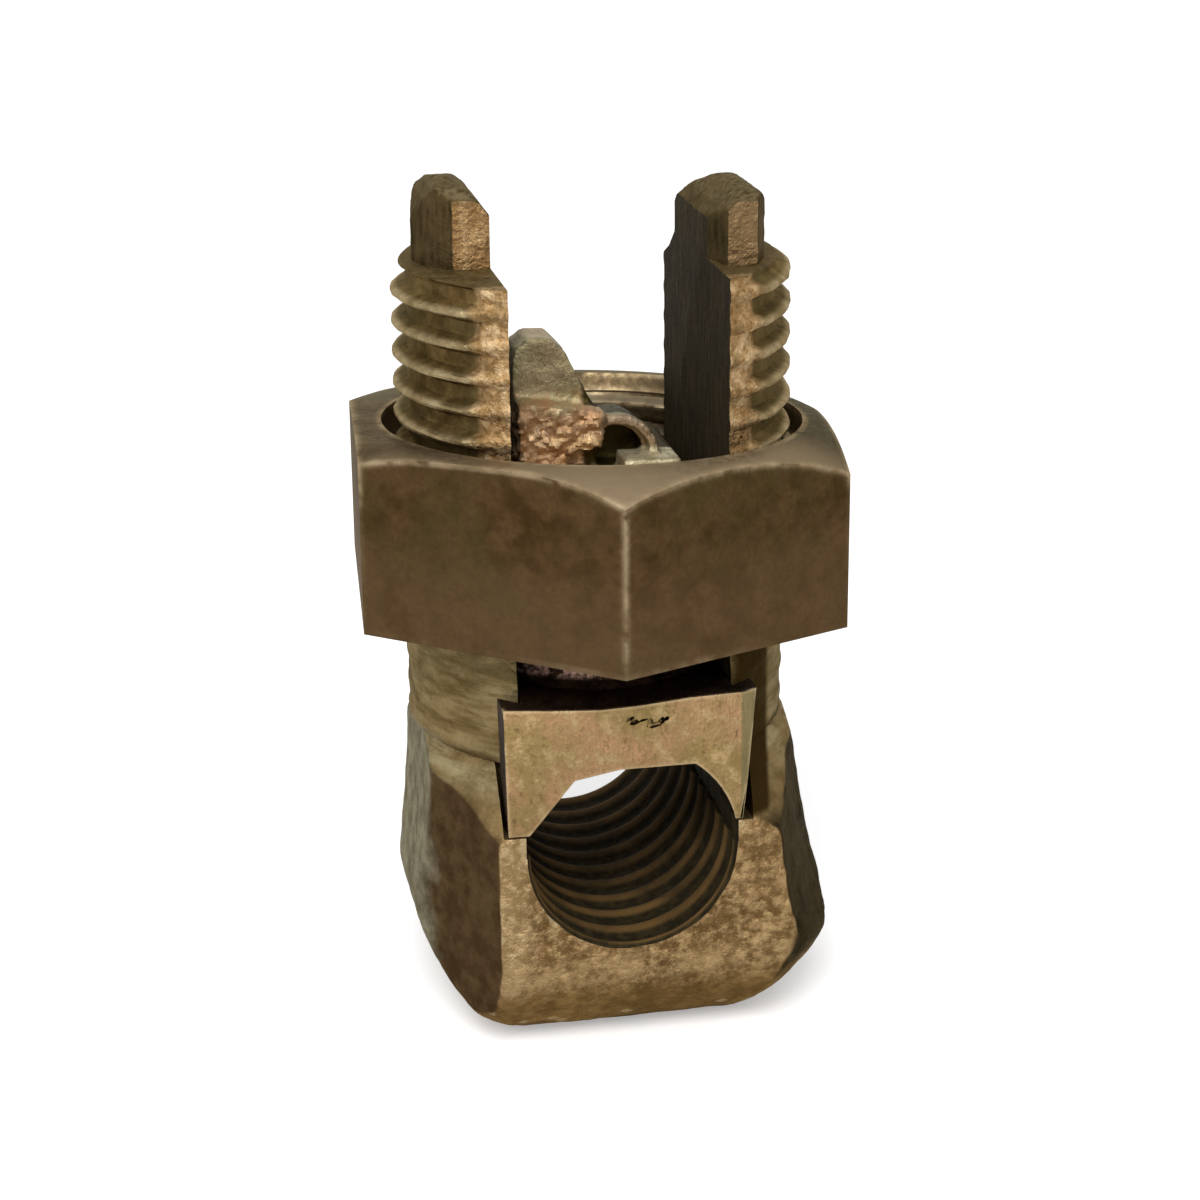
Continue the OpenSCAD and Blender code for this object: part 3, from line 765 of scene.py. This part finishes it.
# painted shade on the stump's low top behind the remains
sunk_shade = times(tree, span(tree, z, 28.6 * mm, 28.2 * mm), span(tree, y, -2.5 * mm, -2.0 * mm))
olive = coat(tree, olive, grime_and_shade, sunk_shade)
colour = coat(tree, colour, olive, span(tree, z, 26.5 * mm, 27 * mm))
# the block's end edges, chipped bright along the arch and the top but not round the chips
along_top = times(tree, span(tree, z, 18.5 * mm, 18.7 * mm), span(tree, z, 19.4 * mm, 19.1 * mm))
chipped = either(tree, span(tree, z, 17.5 * mm, 17.2 * mm), along_top)
chipped = times(tree, edge["Sharp"], chipped, span(tree, outside, 9.2 * mm, 9.5 * mm), 0.75)
colour = coat(tree, colour, (0.6, 0.45, 0.26), chipped)
metal = level(tree, 0.8, 0.95, span(tree, ny, 0.7, 0.9))
rough = plus(tree, 0.44, age["Fine"], 0.16)
grain = plus(tree, age["Fine"], strokes, 0.7)
finished(tree, shader, colour, metal, rough, grain, 0.8, 0.025)

smoothed(bar, 35)
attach(bar, "bar")
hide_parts("pressure_bar")

# ----------------------------------------------------------------------------
# The studio: a plain pale floor, an even pale surround, and one broad soft lamp
# high in front on the left.
# ----------------------------------------------------------------------------
bpy.ops.object.select_all(action="DESELECT")
bpy.ops.mesh.primitive_plane_add(size=4)
floor = bpy.context.object
floor.name = "floor"
pale = bpy.data.materials.new("pale_floor")
pale.use_nodes = True
floor.data.materials.append(pale)
tree = pale.node_tree
matt = tree.nodes["Principled BSDF"]
matt.inputs["Base Color"].default_value = (0.9, 0.9, 0.9, 1)
matt.inputs["Roughness"].default_value = 0.9
# a faint glow that only the camera sees lifts the floor to the surround's white
ray = lay(tree, "ShaderNodeLightPath").outputs
glow = lay(tree, "ShaderNodeEmission", {"Strength": times(tree, ray["Is Camera Ray"], 0.34)})
both = lay(tree, "ShaderNodeAddShader", {0: matt.outputs[0], 1: glow.outputs[0]})
tree.links.new(both.outputs[0], tree.nodes["Material Output"].inputs["Surface"])

surround = bpy.data.worlds.new("surround")
bpy.context.scene.world = surround
surround.use_nodes = True
tree = surround.node_tree
ray = lay(tree, "ShaderNodeLightPath").outputs
seen = either(tree, either(tree, ray["Is Camera Ray"], ray["Is Glossy Ray"]), ray["Is Transmission Ray"])
strength = lay(tree, "ShaderNodeMapRange", {"Value": seen, "To Min": 0.6})
tree.links.new(strength.outputs[0], tree.nodes["Background"].inputs["Strength"])
tree.nodes["Background"].inputs["Color"].default_value = (1, 1, 1, 1)

lamp = bpy.data.lights.new("key_lamp", "AREA")
lamp.size = 0.30
lamp.energy = 3.0
stand = bpy.data.objects.new("key_lamp", lamp)
bpy.context.scene.collection.objects.link(stand)
lamp_place, lit_spot = Vector((-0.13, -0.42, 0.46)), Vector((0, 0, 0.02))
stand.location = lamp_place
stand.rotation_euler = (lit_spot - lamp_place).to_track_quat("-Z", "Y").to_euler()

# the camera looks at view_centre from view_distance away
azimuth, elevation, roll = (math.radians(angle) for angle in (-10.991, 18.907, -0.538))
view_centre, view_distance = Vector((0.3375, 0, 20.99)), 147.94
back = Vector((math.sin(azimuth) * math.cos(elevation), -math.cos(azimuth) * math.cos(elevation),
               math.sin(elevation)))
right = (-back).cross(Vector((0, 0, 1))).normalized()
up = right.cross(-back)
tilted = Matrix((math.cos(roll) * right + math.sin(roll) * up, math.cos(roll) * up - math.sin(roll) * right,
                 back)).transposed()
lens = bpy.data.cameras.new("camera")
lens.sensor_width = 36
lens.lens = 85.31
lens.clip_start = 0.01
camera = bpy.data.objects.new("camera", lens)
bpy.context.scene.collection.objects.link(camera)
camera.matrix_world = Matrix.Translation(view_centre * mm + back * view_distance * mm) @ tilted.to_4x4()
bpy.context.scene.camera = camera
bpy.context.scene.view_settings.view_transform = "Standard"
